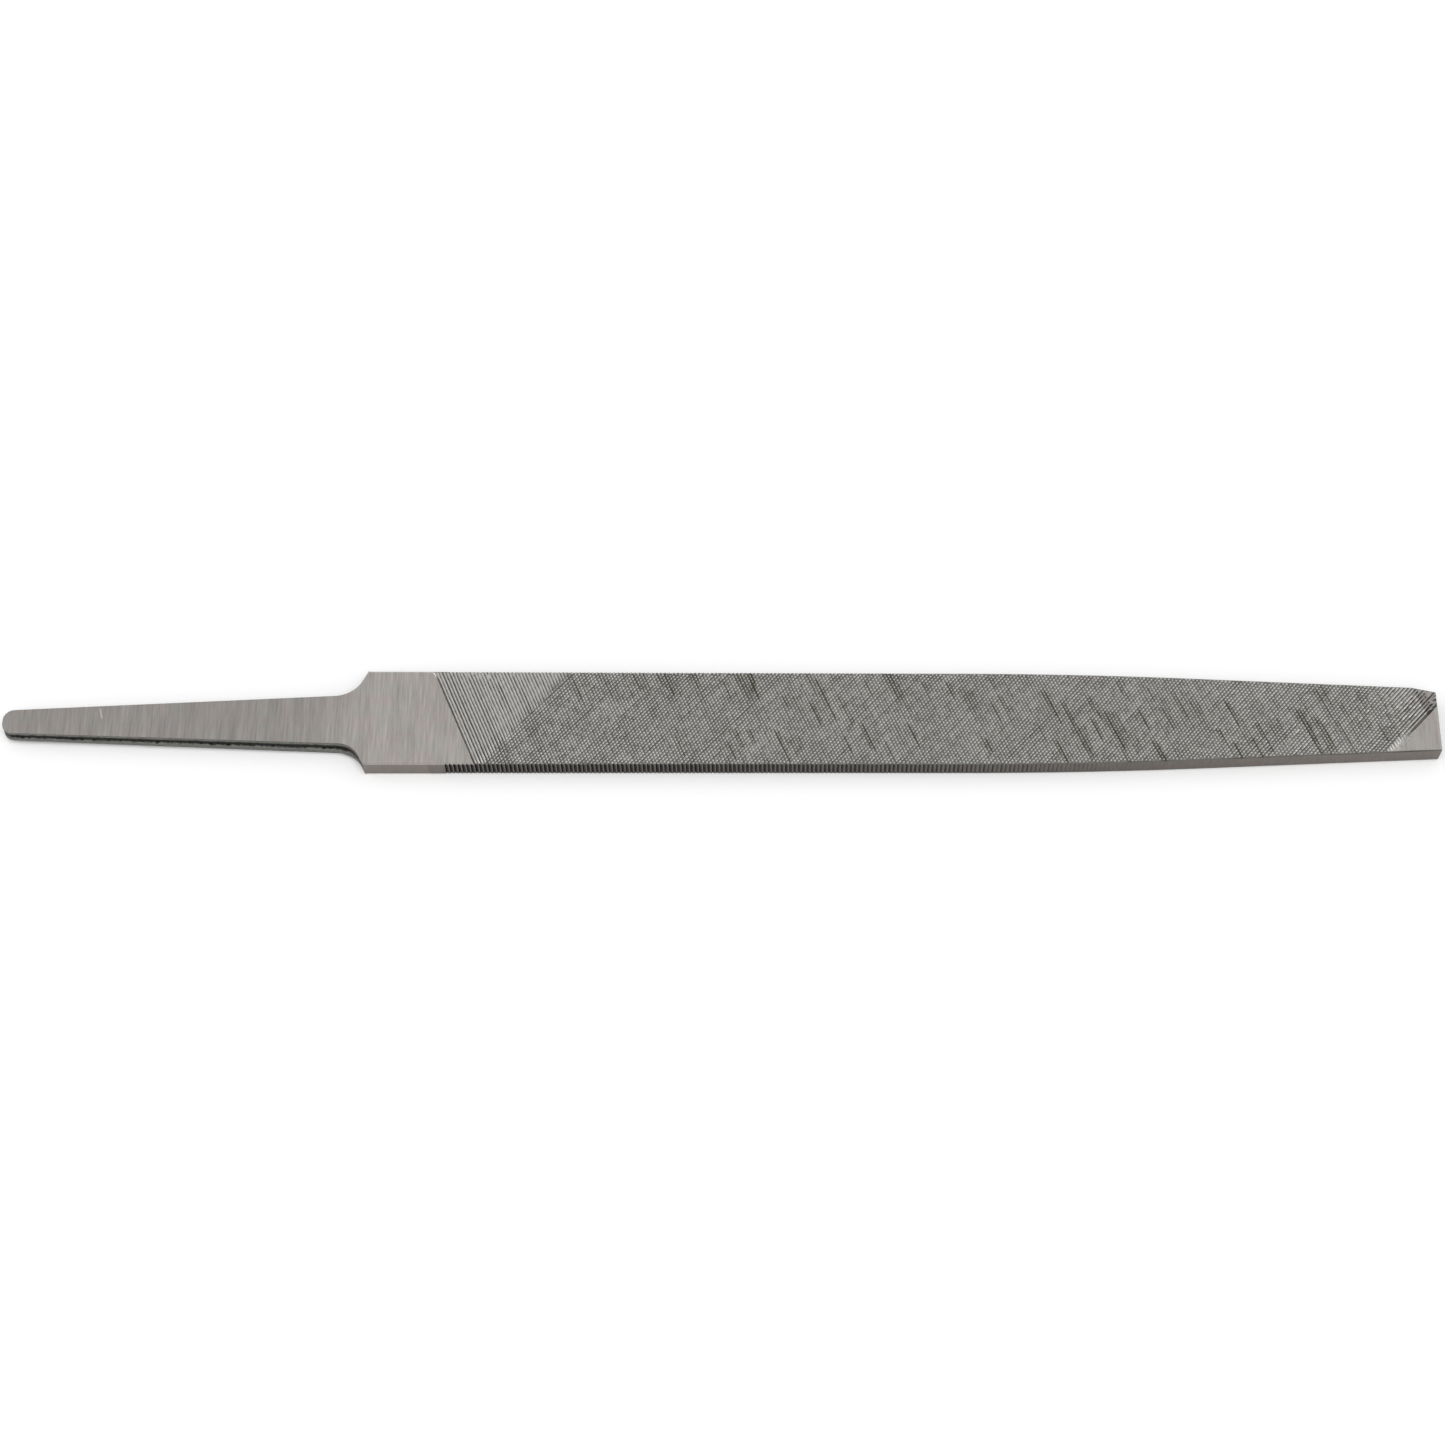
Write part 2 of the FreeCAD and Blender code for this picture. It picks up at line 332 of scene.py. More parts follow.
# Streaks where the chisel bit deeper: the distance from the shoulder and the place on the width where each
# begins, its length across the width, its width along the file, all in millimetres, and its strength
BITES = (
    (50.8, 9.3, 5.6, 3.0, 0.7), (55.6, 9.3, 4.8, 3.0, 0.8), (61.0, 9.3, 3.6, 1.5, 0.6),
    (66.5, 8.0, 4.5, 0.8, 0.5), (70.2, 9.3, 7.0, 4.2, 1.0), (78.2, 4.5, 3.0, 0.8, 0.6),
    (82.5, 9.3, 6.8, 1.6, 0.8), (89.0, 4.0, 8.5, 1.3, 1.0), (93.5, 7.6, 3.4, 0.8, 0.5),
    (97.5, 9.3, 6.0, 2.2, 0.8), (104.4, 7.6, 2.6, 0.8, 0.6), (112.3, 5.5, 7.0, 3.0, 1.0),
    (117.0, 8.4, 3.2, 0.8, 0.6), (117.3, 2.6, 3.4, 1.0, 0.7), (127.0, 5.4, 6.6, 0.9, 0.9),
    (133.0, -2.0, 6.2, 2.6, 0.8), (138.8, 1.0, 8.6, 3.8, 1.0), (143.0, -3.8, 4.4, 2.0, 0.8),
    (149.2, 2.0, 4.5, 1.6, 0.6), (154.8, 3.4, 8.0, 1.6, 0.8), (163.0, -2.0, 5.0, 1.5, 0.6),
    (168.8, -1.0, 6.0, 1.8, 0.7), (174.0, 1.6, 8.0, 2.6, 0.9), (177.0, 0.2, 6.0, 1.6, 0.8),
    (190.3, -1.6, 4.0, 1.5, 0.6), (24.6, 6.5, 6.0, 0.8, 0.6), (29.0, 5.6, 4.4, 0.7, 0.5),
    (38.6, 7.6, 4.6, 1.2, 0.6), (44.0, 9.3, 5.6, 1.6, 0.7), (58.0, -4.0, 4.0, 1.0, 0.5),
    (67.8, -5.0, 4.0, 0.9, 0.5), (80.0, -4.2, 4.5, 2.2, 0.5),
)


def window(value, low, high, fade):
    """1 between low and high, falling in a straight line to 0 over a fade outside them."""
    return np.clip(np.minimum(value - low, high - value) / fade + 1, 0, 1)


def small_bites():
    """Many more streaks of a single stroke, most of them towards the point."""
    rng = np.random.default_rng(SEED + 4)
    distance = UP_END / MM - SMALL_BITE_REACH * rng.uniform(0.05, 1, SMALL_BITES) ** 1.3
    begins = rng.uniform(-6, 8, SMALL_BITES)
    length = rng.uniform(3, 8, SMALL_BITES)
    strength = rng.uniform(0.3, 0.9, SMALL_BITES)
    return np.stack([distance, begins, length, np.full(SMALL_BITES, SMALL_BITE_WIDTH), strength], 1)


def bite_strength(stroke, y):
    """How much deeper the chisel bit at a stroke of the up-cut and a place across the width, from 0 to 1.

    A streak narrows along its length, and each stroke in it reaches a different share of that length.
    """
    t = teeth()
    shares = np.random.default_rng(SEED + 3).uniform(0.45, 1, int(CHISEL_REACH / t.up_pitch))
    reached = shares[((stroke + 0.04 * MM - UP_START) / t.up_pitch).astype(int) % shares.size]
    total = np.zeros(np.broadcast(stroke, y).shape)
    for distance, begins, length, wide, strength in BITES + tuple(small_bites()):
        along = (begins * MM - y) / (length * MM)
        middle = (distance - t.up_lean * begins) * MM
        half = wide / 2 * MM * np.clip(1 - 0.7 * along, 0.2, 1)
        beside = window(stroke - middle, -half, half, 0.15 * MM)
        softened = strength if wide < WIDE_BITE else strength * np.where(reached > 0.8, 0.95, 0.45)
        total = np.maximum(total, softened * beside * window(along, 0, reached, 0.12))
    return total


def patchy(rng, x, y, spacing):
    """Random values from -1 to 1 at the corners of a square net over the whole body, blended in between."""
    table = rng.uniform(-1, 1, (int(CHISEL_REACH / spacing), int(60 * MM / spacing)))
    column = np.clip((x + 20 * MM) / spacing, 0, table.shape[0] - 1.001)
    row = np.clip((y + 30 * MM) / spacing, 0, table.shape[1] - 1.001)
    i = column.astype(int)
    j = row.astype(int)
    along = column - i
    across = row - j
    first = table[i, j] * (1 - across) + table[i, j + 1] * across
    second = table[i + 1, j] * (1 - across) + table[i + 1, j + 1] * across
    return first * (1 - along) + second * along


def stroke_levels(first, last, pitch, ending, rng):
    """A cut's places along the length, with the share of its depth and the number of its stroke at each.

    Every stroke drops steeply from its crest to its root and climbs to the next crest. Level ground lies before
    the first stroke and after the ending, which is given by its own places and shares.
    """
    crests = np.arange(first, last, pitch)
    crests = crests + rng.normal(0, WANDER, crests.size)
    following = np.append(crests[1:], crests[-1] + pitch)
    roots = crests + STROKE_DROP
    climb = (following - roots) / (len(STROKE_SHARES) - 1)
    places = np.stack([crests, roots, roots + climb, roots + 2 * climb], 1)
    shares = np.broadcast_to(STROKE_SHARES, places.shape)
    numbers = np.broadcast_to(np.arange(crests.size)[:, None], places.shape)
    end_places = following[-1] + np.array([place for place, share in ending]) * MM
    before = np.arange(first - 60 * MM, first - MM, 2 * MM)
    after = np.arange(end_places[-1] + MM, end_places[-1] + 60 * MM, 2 * MM)
    level = np.zeros(before.size), np.zeros(after.size)
    end_shares = [share for place, share in ending]
    end_numbers = np.full(len(ending) + after.size, crests.size)
    return (np.concatenate([before, places.ravel(), end_places, after]),
            np.concatenate([level[0], shares.ravel(), end_shares, level[1]]),
            np.concatenate([level[0].astype(int), numbers.ravel(), end_numbers]))


def tooth_sheet(start, end):
    """Places and heights of the upper face's teeth between two distances.

    The grid follows the strokes: its rows are lines of the up-cut and its columns lines of the over-cut, so
    both cuts' crests and roots are mesh edges. At every point the deeper of the two cuts sets the height.
    """
    s = sizes()
    t = teeth()
    rng = np.random.default_rng(SEED)
    up_places, up_shares, up_numbers = stroke_levels(UP_START, UP_END, t.up_pitch, ((0, 0),), rng)
    over_places, over_shares, over_numbers = stroke_levels(OVER_START, OVER_END, t.over_pitch, LAST_GAP, rng)
    up_strength = 1 + rng.normal(0, 0.07, up_numbers.max() + 1)
    over_strength = 1 + rng.normal(0, 0.06, over_numbers.max() + 1)
    chips = rng.uniform(0, 1, (up_strength.size, over_strength.size)) ** 3
    half = s.heel_width / 2 + MM
    up_reach = abs(t.up_lean) * half
    over_reach = t.over_lean * half
    up_kept = window(up_places, start - up_reach - MM, end + up_reach + MM, 0.1 * MM) > 0
    over_kept = window(over_places, start - over_reach - MM, end + over_reach + MM, 0.1 * MM) > 0
    up, over = np.meshgrid(up_places[up_kept], over_places[over_kept], indexing="ij")
    y = (up - over) / (t.over_lean - t.up_lean)
    x = up + t.up_lean * y
    up_number, over_number = np.meshgrid(up_numbers[up_kept], over_numbers[over_kept], indexing="ij")
    up_patches = PATCH_SPREAD * patchy(rng, x, y, PATCH_SIZE)
    up_depth = np.interp(up, UP_BEARING_PLACES, UP_BEARING)
    up_depth = up_depth * (up_strength[up_number] + up_patches + BITE_DEPTH * bite_strength(up, y))
    up_depth = up_depth * np.interp(over, (OVER_END, OVER_END + UP_PAST_OVER), (1, UP_LAST_SHARE))
    begins = np.interp(y, OVER_BEGIN_ACROSS, OVER_BEGIN)
    over_depth = np.clip((over - begins) / OVER_RISE + OVER_FIRST, 0, 1)
    over_depth = over_depth * (over_strength[over_number] + PATCH_SPREAD * patchy(rng, x, y, PATCH_SIZE))
    last_gap = LAST_GAP_DEPTH * window(y, LAST_GAP_SIDE, LAST_GAP_FAR, LAST_GAP_FADE)
    over_depth = np.where(over > OVER_END, last_gap, over_depth)
    below = np.maximum(up_shares[up_kept][:, None] * up_depth * (t.up_depth + LIFT),
                       over_shares[over_kept] * over_depth * (t.over_depth + LIFT))
    below = below + CHIP_DEPTH * chips[up_number, over_number] * (up_depth * over_depth > 0.1)
    wobble = WOBBLE * patchy(rng, x, y, WOBBLE_SIZE)
    return shoulder_x() + x + wobble, y, s.thickness + LIFT - below


def turned_over(made):
    """Turns a tool half round about the file's length, to cut the lower face as the upper one is cut."""
    points = points_of(made) * (1, -1, -1) + (0, 0, sizes().thickness)
    move_points(made, points)
    return made


RAKE = math.tan(math.radians(14))  # lean of an edge tooth's cutting face from square
EDGE_LAND = 0.06 * MM  # width left flat on each crest
EDGE_START = 15.2 * MM
EDGE_FADE_START = 60 * MM  # the chisel bears less and less on the edge from here
EDGE_FADE_END = 160 * MM  # where its gaps would have no depth left
EDGE_END = 152 * MM  # the last stroke


def edge_gap_depths(distance, rng):
    """Depth of an edge's gaps at its stations, fading evenly towards the point."""
    fade = np.clip((EDGE_FADE_END - distance) / (EDGE_FADE_END - EDGE_FADE_START), 0, 1)
    return teeth().edge_depth * fade * (1 + rng.normal(0, 0.06, distance.size))


def blank_zone(name, start, end):
    """Body of the file between two distances: a bevelled bar whose edges carry a straight cut.

    Every section is an octagon. At a gap's root the side stands in by the gap's depth and meets the same bevels.
    """
    s = sizes()
    t = teeth()
    rng = np.random.default_rng(SEED)
    crests = np.arange(EDGE_START, EDGE_END, t.edge_pitch)
    depths = edge_gap_depths(crests, rng)
    toothed = np.stack([crests, crests + depths * RAKE, crests + t.edge_pitch - EDGE_LAND], 1).ravel()
    cut = np.stack([np.zeros(crests.size), depths, np.zeros(crests.size)], 1).ravel()
    plain = np.array([0.0, EDGE_END + MM, s.body_length - NOSE_LENGTH, s.body_length])
    plain = np.concatenate([plain, np.linspace(EDGE_END + 2 * MM, s.body_length, 9)[:-1]])
    distance = np.unique(np.concatenate([toothed, plain, [start, end]]))
    distance = distance[(distance >= start) & (distance <= end)]
    depth = np.interp(distance, toothed, cut)
    near = half_width(distance)
    far = np.minimum(near, nose_limit(distance))
    low = s.bevel - depth
    section = [
        (-(near - s.bevel), 0 * depth), (far - s.bevel, 0 * depth), (far - depth, low),
        (far - depth, s.thickness - low), (far - s.bevel, s.thickness + 0 * depth),
        (-(near - s.bevel), s.thickness + 0 * depth), (-(near - depth), s.thickness - low),
        (-(near - depth), low),
    ]
    y = np.stack([corner[0] for corner in section], 1)
    z = np.stack([corner[1] for corner in section], 1)
    x = np.broadcast_to((shoulder_x() + distance)[:, None], y.shape)
    return loft(name, np.stack([x, y, z], -1))


def toothed_zone(name, start, end):
    """One length of the body with all its teeth: the bar, cut by the strokes of both faces.

    Two point attributes tell the steel how far it lies inside the edge in millimetres and how oily it is.
    """
    s = sizes()
    sheet = tooth_sheet(start, end)
    piece = blank_zone(name, start, end)
    intersect(piece, [sheet_tool("upper_teeth", *sheet), turned_over(sheet_tool("lower_teeth", *sheet))])
    points = points_of(piece)
    distance = points[:, 0] - shoulder_x()
    across = points[:, 1] * np.where(points[:, 2] > s.thickness / 2, 1, -1)
    values = {
        "edge_depth": (half_width(distance) - np.abs(points[:, 1])) / MM,
        "oil": bite_strength(distance - teeth().up_lean * across, across),
    }
    for title, value in values.items():
        piece.data.attributes.new(title, "FLOAT", "POINT").data.foreach_set("value", value.astype(np.float32))
    return piece


# Tang

TANG_FLAT = 6 * MM  # the tang keeps the body's thickness for this length
TANG_LEANS = (0.43 * MM, 0.75 * MM)  # how far it stands towards the near edge at the shoulder and at its end
SHOULDER_CURVE = 0.57  # share of the shoulder's slope that its curve takes up
RIDGE_CURVE = 0.88
END_CURVE = 0.42  # share of the end's width that its round takes up
ARC_POINTS = 40


def arc_corner(before, corner, after, reach, count):
    """Points of the arc that touches both sides of a corner at the distance reach from it."""
    back = (before - corner) / np.linalg.norm(before - corner)
    ahead = (after - corner) / np.linalg.norm(after - corner)
    half = math.acos(np.dot(back, ahead)) / 2
    radius = reach * math.tan(half)
    middle = (back + ahead) / np.linalg.norm(back + ahead)
    centre = corner + middle * radius / math.sin(half)
    side = (ahead - back) / np.linalg.norm(ahead - back)
    turn = np.linspace(half - math.pi / 2, math.pi / 2 - half, count)[:, None]
    return centre + radius * (side * np.sin(turn) - middle * np.cos(turn))


def tang_side(side, growth, curve):
    """Distance and width of the tang's edge on one side, from the heel's corner to the tang's end.

    The shoulder's slope, the shoulder's curve, the straight edge and the round of the end follow each other.
    """
    s = sizes()
    ends = [side * (s.tang_root_width / 2 + growth) - TANG_LEANS[0],
            side * (s.tang_end_width / 2 + growth) - TANG_LEANS[1]]
    root, tip = np.abs(ends)
    narrowing = (root - tip) / s.tang_length
    slope = math.tan(s.shoulder_angle)
    reach = (s.heel_width / 2 - root) / (slope - narrowing)
    heel = np.array([0.0, s.heel_width / 2])
    corner = np.array([-reach, s.heel_width / 2 - reach * slope])
    end = np.array([-s.tang_length, tip])
    middle = np.array([-s.tang_length, 0.0])
    turn = arc_corner(heel, corner, end, curve * reach / math.cos(s.shoulder_angle), ARC_POINTS)
    round_end = arc_corner(corner, end, middle, END_CURVE * s.tang_end_width, ARC_POINTS)
    return np.concatenate([[heel], turn, round_end])


# Levels down the tang's side: share of the height, and share of the ridge's growth at which the side stands
TANG_PROFILE = np.array([
    (1.0, -0.1), (0.975, 0.06), (0.90, 0.1), (0.75, 0.18), (0.62, 0.26), (0.585, 0.1),
    (0.55, -0.55), (0.51, -0.75), (0.465, -0.5), (0.43, 0.8), (0.405, 1.0), (0.33, 1.08),
    (0.25, 0.95), (0.2, 0.5), (0.1, 0.2), (0.02, 0.0), (0.0, -0.15),
])


def tang_sections():
    """Sections of the tang square to its length: flat faces that thin towards the end, and sides that follow
    the sheared profile between the outline of the faces and the wider outline of the ridge."""
    s = sizes()
    rng = np.random.default_rng(SEED + 2)
    tip = 2.2 * MM * (1 - np.cos(np.linspace(0, math.pi / 2, 14)))
    straight = np.linspace(-s.tang_length + 2.4 * MM, -8 * MM, 150)
    shoulder = np.linspace(-7.9 * MM, 0, 70)
    x = np.concatenate([tip - s.tang_length, straight, shoulder])
    thinning = (s.thickness - s.tang_end_thickness) / 2 / (s.tang_length - TANG_FLAT)
    drop = np.maximum(-x - TANG_FLAT, 0) * thinning
    sides = []
    for side in (-1, 1):
        face, ridge = (tang_side(side, growth, curve) for growth, curve in
                       ((0, SHOULDER_CURVE), (s.shear_ridge, RIDGE_CURVE)))
        face_y, ridge_y = (np.interp(x, line[::-1, 0], line[::-1, 1]) for line in (face, ridge))
        heights = []
        widths = []
        waver = smooth_random(rng, x, 1.6 * MM) * 0.6 + smooth_random(rng, x, 0.6 * MM) * 0.4
        for share, growth in TANG_PROFILE:
            torn = window(share, 0.4, 0.6, 0.15)
            height = share + 0.045 * waver * torn
            rough = smooth_random(rng, x, 0.8 * MM) * 0.12 * window(share, 0.2, 0.6, 0.15)
            heights.append(drop + height * (s.thickness - 2 * drop))
            widths.append(side * (face_y + (growth + rough) * (ridge_y - face_y)))
        sides.append((np.stack(widths, 1), np.stack(heights, 1)))
    (near_y, near_z), (far_y, far_z) = sides
    y = np.concatenate([near_y, far_y[:, ::-1]], 1)
    z = np.concatenate([near_z, far_z[:, ::-1]], 1)
    return np.stack([np.broadcast_to((shoulder_x() + x)[:, None], y.shape), y, z], -1)


# Materials

class Shade:
    """A value that changes over a surface. Arithmetic on it adds the Math nodes that work it out."""

    def __init__(self, finish, socket):
        self.finish = finish
        self.socket = socket

    def maths(self, operation, *values):
        return self.finish.node("ShaderNodeMath", {"operation": operation}, *values)

    def __add__(self, other):
        return self.maths("ADD", self, other)

    def __sub__(self, other):
        return self.maths("SUBTRACT", self, other)

    def __rsub__(self, other):
        return self.maths("SUBTRACT", other, self)

    def __mul__(self, other):
        return self.maths("MULTIPLY", self, other)

    def __truediv__(self, other):
        return self.maths("DIVIDE", self, other)

    __radd__ = __add__
    __rmul__ = __mul__

    def size(self):
        return self.maths("ABSOLUTE", self)

    def whole(self):
        return self.maths("FLOOR", self)

    def most(self, other):
        return self.maths("MAXIMUM", self, other)

    def ramp(self, low, high, smooth=True):
        """0 below low and 1 above high, with a smooth or straight rise between."""
        kind = {"interpolation_type": "SMOOTHSTEP" if smooth else "LINEAR"}
        return self.finish.node("ShaderNodeMapRange", kind, self, low, high, 0.0, 1.0)


class Finish:
    """A material whose colours, roughness and relief are worked out from the surface's place on the file."""

    def __init__(self, name):
        self.material = bpy.data.materials.new(name)
        self.material.use_nodes = True
        self.tree = self.material.node_tree
        self.tree.nodes.clear()
        place = self.node("ShaderNodeTexCoord", {}, output="Object")
        parts = self.node("ShaderNodeSeparateXYZ", {}, place).socket.node
        self.x, self.y, self.z = (Shade(self, parts.outputs[i]) * 1000 for i in range(3))
        self.distance = self.x - shoulder_x() / MM

    def node(self, kind, settings, *values, output=0):
        """Adds a node, makes its settings, sets or links its sockets in order and gives one of its outputs."""
        made = self.tree.nodes.new(kind)
        for key, value in settings.items():
            setattr(made, key, value)
        sockets = [socket for socket in made.inputs if socket.enabled]
        for socket, value in zip(sockets, values):
            if isinstance(value, Shade):
                self.tree.links.new(value.socket, socket)
            elif value is not None:
                socket.default_value = value
        outputs = [socket for socket in made.outputs if socket.enabled]
        return Shade(self, made.outputs[output] if isinstance(output, str) else outputs[output])

    def place(self, x, y, z):
        return self.node("ShaderNodeCombineXYZ", {}, x, y, z)

    def noise(self, where, scale, detail=2.0, roughness=0.5):
        return self.node("ShaderNodeTexNoise", {}, where, scale, detail, roughness)

    def chance(self, where):
        return self.node("ShaderNodeTexWhiteNoise", {"noise_dimensions": "3D"}, where)

    def mix(self, factor, first, second, blend="MIX"):
        """Colour between two colours."""
        settings = {"data_type": "RGBA", "blend_type": blend}
        pair = [tuple(c) + (1.0,) if not isinstance(c, Shade) else c for c in (first, second)]
        return self.node("ShaderNodeMix", settings, factor, *pair)

    def bump(self, height, strength, distance):
        return self.node("ShaderNodeBump", {}, strength, distance, None, height, None)

    def steel(self, colour, roughness, normal=None, metallic=1.0):
        shader = self.tree.nodes.new("ShaderNodeBsdfPrincipled")
        shader.inputs["Metallic"].default_value = metallic
        for title, value in (("Base Color", colour), ("Roughness", roughness), ("Normal", normal)):
            if isinstance(value, Shade):
                self.tree.links.new(value.socket, shader.inputs[title])
            elif value is not None:
                shader.inputs[title].default_value = value
        out = self.tree.nodes.new("ShaderNodeOutputMaterial")
        self.tree.links.new(shader.outputs[0], out.inputs[0])
        return self.material


def ground_look(f):
    """Colour, roughness and relief of steel ground across the file, with fine marks and faint mottling.

    The tang is duller than the heel. The heel's sides take a darker, brownish colour: the darkness is painted
    shade.
    """
    c = colours()
    fine = f.noise(f.place(f.x * 3.2, f.y * 0.14, f.z * 0.5), 1.0, 4.0, 0.7)
    coarse = f.noise(f.place(f.x * 0.9, f.y * 0.05, f.z * 0.1), 1.0, 2.0, 0.5)
    mottle = f.noise(f.place(f.x * 0.3, f.y * 0.4, f.z), 1.0, 2.0, 0.5)
    tints = ((1.02, 0.99, 0.99), (0.98, 1.005, 1.0))
    warm, cool = (tuple(v * k for v, k in zip(c.ground, tint)) for tint in tints)
    colour = f.mix(mottle.ramp(0.38, 0.62), warm, cool)
    shade = (0.36 + fine * 0.88 + coarse * 0.4) * (0.82 + f.distance.ramp(-16.0, 2.0) * 0.18)
    scratch = 1 - (f.distance + f.y * 0.3 + 49.7).size().ramp(0.08, 0.2)
    shade = shade + 0.5 * scratch * (1 - (f.y - 0.9).size().ramp(0.8, 1.3))
    colour = f.mix(1.0, colour, f.place(shade, shade, shade), "MULTIPLY")
    below = sizes().thickness / 2 / MM - (f.z - sizes().thickness / 2 / MM).size()
    # painted shade: the heel's sides, away from the faces, take the dark brownish side colour
    side = below.ramp(0.28, 0.36) * f.distance.ramp(-0.2, 0.0)
    painted_side_shade = f.mix(coarse, tuple(v * 1.15 for v in c.side), tuple(v * 0.9 for v in c.side))
    return f.mix(side, colour, painted_side_shade), 0.34 + fine * 0.16, fine


def ground_steel_and_painted_side_shade():
    f = Finish("ground_steel_and_painted_side_shade")
    colour, roughness, fine = ground_look(f)
    return f.steel(colour, roughness, f.bump(fine, 0.12, 0.00005))


def toothed_steel_and_painted_shade():
    """Steel under the teeth: bright crests, gaps darkened by painted shade, brownish edges darkened by painted
    shade, nearly black painted shade in the edges' gaps, and a trace of oil in the deeper gaps.
    """
    f = Finish("toothed_steel_and_painted_shade")
    c = colours()
    t = teeth()
    ground, ground_roughness, fine = ground_look(f)
    inside_edge, oil = (f.node("ShaderNodeAttribute", {"attribute_name": title}, output="Fac")
                        for title in ("edge_depth", "oil"))
    middle = sizes().thickness / 2 / MM
    height = f.z - middle
    below_face = middle - height.size()
    side_of_file = height.maths("SIGN", height)
    across = f.y * side_of_file
    up = f.distance - across * t.up_lean
    over = f.distance - across * t.over_lean
    up_number = (up / (t.up_pitch / MM)).whole()
    over_number = (over / (t.over_pitch / MM)).whole()
    tooth = f.chance(f.place(up_number, over_number, side_of_file))
    edge_mask = below_face.ramp(0.3, 0.42)
    # face_gap rises with the depth below the face; it places the painted shade of the gaps, more of the oil, and
    # the last stroke's painted shade
    face_gap = below_face.ramp(0.02, 0.2, smooth=False)
    edge_gap_shade = inside_edge.ramp(0.03, 0.1, smooth=False)
    patch = f.noise(f.place(f.x * 0.25, f.y * 0.3, f.z), 1.0, 3.0, 0.55)
    crest = f.mix(tooth * 0.5, tuple(c.crest), tuple(v * 0.72 for v in c.crest))
    # painted shade: the face goes from the crest colour to the dark gap colour as it lies deeper, and the oil's
    # olive is darkened in the gaps too
    gap = f.mix(patch.ramp(0.45, 0.65), tuple(c.gap), tuple(v * 0.85 for v in c.gap))
    single = 1 - over.ramp(28.5, 31.0)
    crest = f.mix(single * 0.75, crest, tuple(v * 0.5 for v in c.crest))
    face = f.mix(face_gap, crest, gap)
    olive = f.mix(face_gap, tuple(c.oil), tuple(v * 0.12 for v in c.oil))
    face = f.mix(oil * (0.12 + face_gap * 0.55), face, olive)
    first_stroke = up.ramp(UP_START / MM - 0.02, UP_START / MM + 0.02)
    last_stroke = up.ramp(UP_END / MM - 0.3, UP_END / MM)
    # painted shade: where the last up-cut stroke's gap lies deep, the face is coloured nearly black
    face = f.mix(last_stroke * face_gap * 0.85, face, tuple(v * 0.25 for v in c.side))
    dull = f.distance.ramp(130.0, 195.0) + 1 - f.distance.ramp(14.0, 16.0)
    # the edges start from the side colour, darkened as painted shade; they are darker still from about 15 mm,
    # fading out between 130 and 195 mm
    edge = f.mix(dull, tuple(v * 0.72 for v in c.side), tuple(c.side))
    edge = f.mix(patch * 0.6, edge, tuple(v * 0.7 for v in c.side))
    # painted shade: the gaps between the edge teeth are coloured nearly black
    edge = f.mix(edge_gap_shade, edge, tuple(v * 0.06 for v in c.side))
    colour = f.mix(edge_mask, face, edge)
    beyond = over.ramp(OVER_END / MM + 0.7, OVER_END / MM + 1.3)
    bare = (1 - first_stroke).most(last_stroke.most(beyond) * (1 - face_gap)) * (1 - edge_mask)
    colour = f.mix(bare, colour, ground)
    worn = 0.42 + tooth * 0.1
    return f.steel(colour, worn + (ground_roughness - worn) * bare, f.bump(fine, 0.12, 0.00005))


def sheared_steel_and_painted_shadow():
    """Torn steel of the tang's sides: a grey wall, a black line of painted shadow where the side is sunk in, a
    lighter ridge, and a bottom darkened by painted shade.
    """
    f = Finish("sheared_steel_and_painted_shadow")
    c = colours()
    level = f.node("ShaderNodeAttribute", {"attribute_name": "level"}, output="Fac")
    torn = f.noise(f.place(f.x * 1.2, f.y, f.z * 2.2), 1.0, 4.0, 0.6)
    level = level + (torn - 0.5) * 0.18
    # painted shadow: a nearly black line where the side is sunk in, and painted shade towards the bottom of the
    # side
    groove_shadow = level.ramp(0.43, 0.48) * (1 - level.ramp(0.76, 0.88))
    foot_shade = 1 - level.ramp(0.02, 0.12)
    colour = f.mix(torn.ramp(0.3, 0.7), tuple(v * 0.8 for v in c.sheared), tuple(v * 1.2 for v in c.sheared))
    colour = f.mix(groove_shadow.most(foot_shade * 0.8), colour, tuple(v * 0.08 for v in c.sheared))
    return f.steel(colour, 0.45 + torn * 0.2, f.bump(torn, 0.4, 0.00012))


# Pieces and stage

WAIST_SHARE = 0.56  # share of the body's length at which the point zone takes over
FLOOR_HALF = 3.0
FLOOR_DROP = 0.00002  # keeps the floor clear of the lower face
LAMPS = (  # name, place, size and power
    ("left", (-1.7, 0.0, 0.9), 1.6, 7.0),
    ("above", (0.2, -0.5, 1.8), 1.2, 17.0),
)
WORLD_STRENGTH = 0.64
CAMERA_LENS = 72.6
CAMERA_PLACE = (0.01054, -0.24436, 0.49053)
CAMERA_DEGREES = (26.589, 0.865, 0.526)


def assign(made, *materials):
    made.data.materials.clear()
    for material in materials:
        made.data.materials.append(material)


def finish_piece(made, slot, *nodes):
    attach(made, "root")
    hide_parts(*nodes)


class FLATFILE_OT_tang(bpy.types.Operator):
    """Build the tang with its sheared sides"""

    bl_idname = "flat_file.tang"
    bl_label = "Tang"

    def execute(self, context):
        sections = tang_sections()
        made = loft("bare_tang", sections)
        assign(made, bpy.data.materials["ground_steel_and_painted_side_shade"], bpy.data.materials["sheared_steel_and_painted_shadow"])
        rows, columns, _ = sections.shape
        column = np.tile(np.arange((rows - 1) * columns) % columns, 2)
        faces = (column == columns - 1) | (column == columns // 2 - 1)
        index = np.concatenate([np.where(faces, 0, 1), [1, 1]]).astype(np.int32)
        made.data.polygons.foreach_set("material_index", index)
        levels = np.concatenate([TANG_PROFILE[:, 0], TANG_PROFILE[::-1, 0]])
        made.data.attributes.new("level", "FLOAT", "POINT").data.foreach_set("value", np.tile(levels, rows))
        finish_piece(made, "ground_steel", "tang")
        return {"FINISHED"}


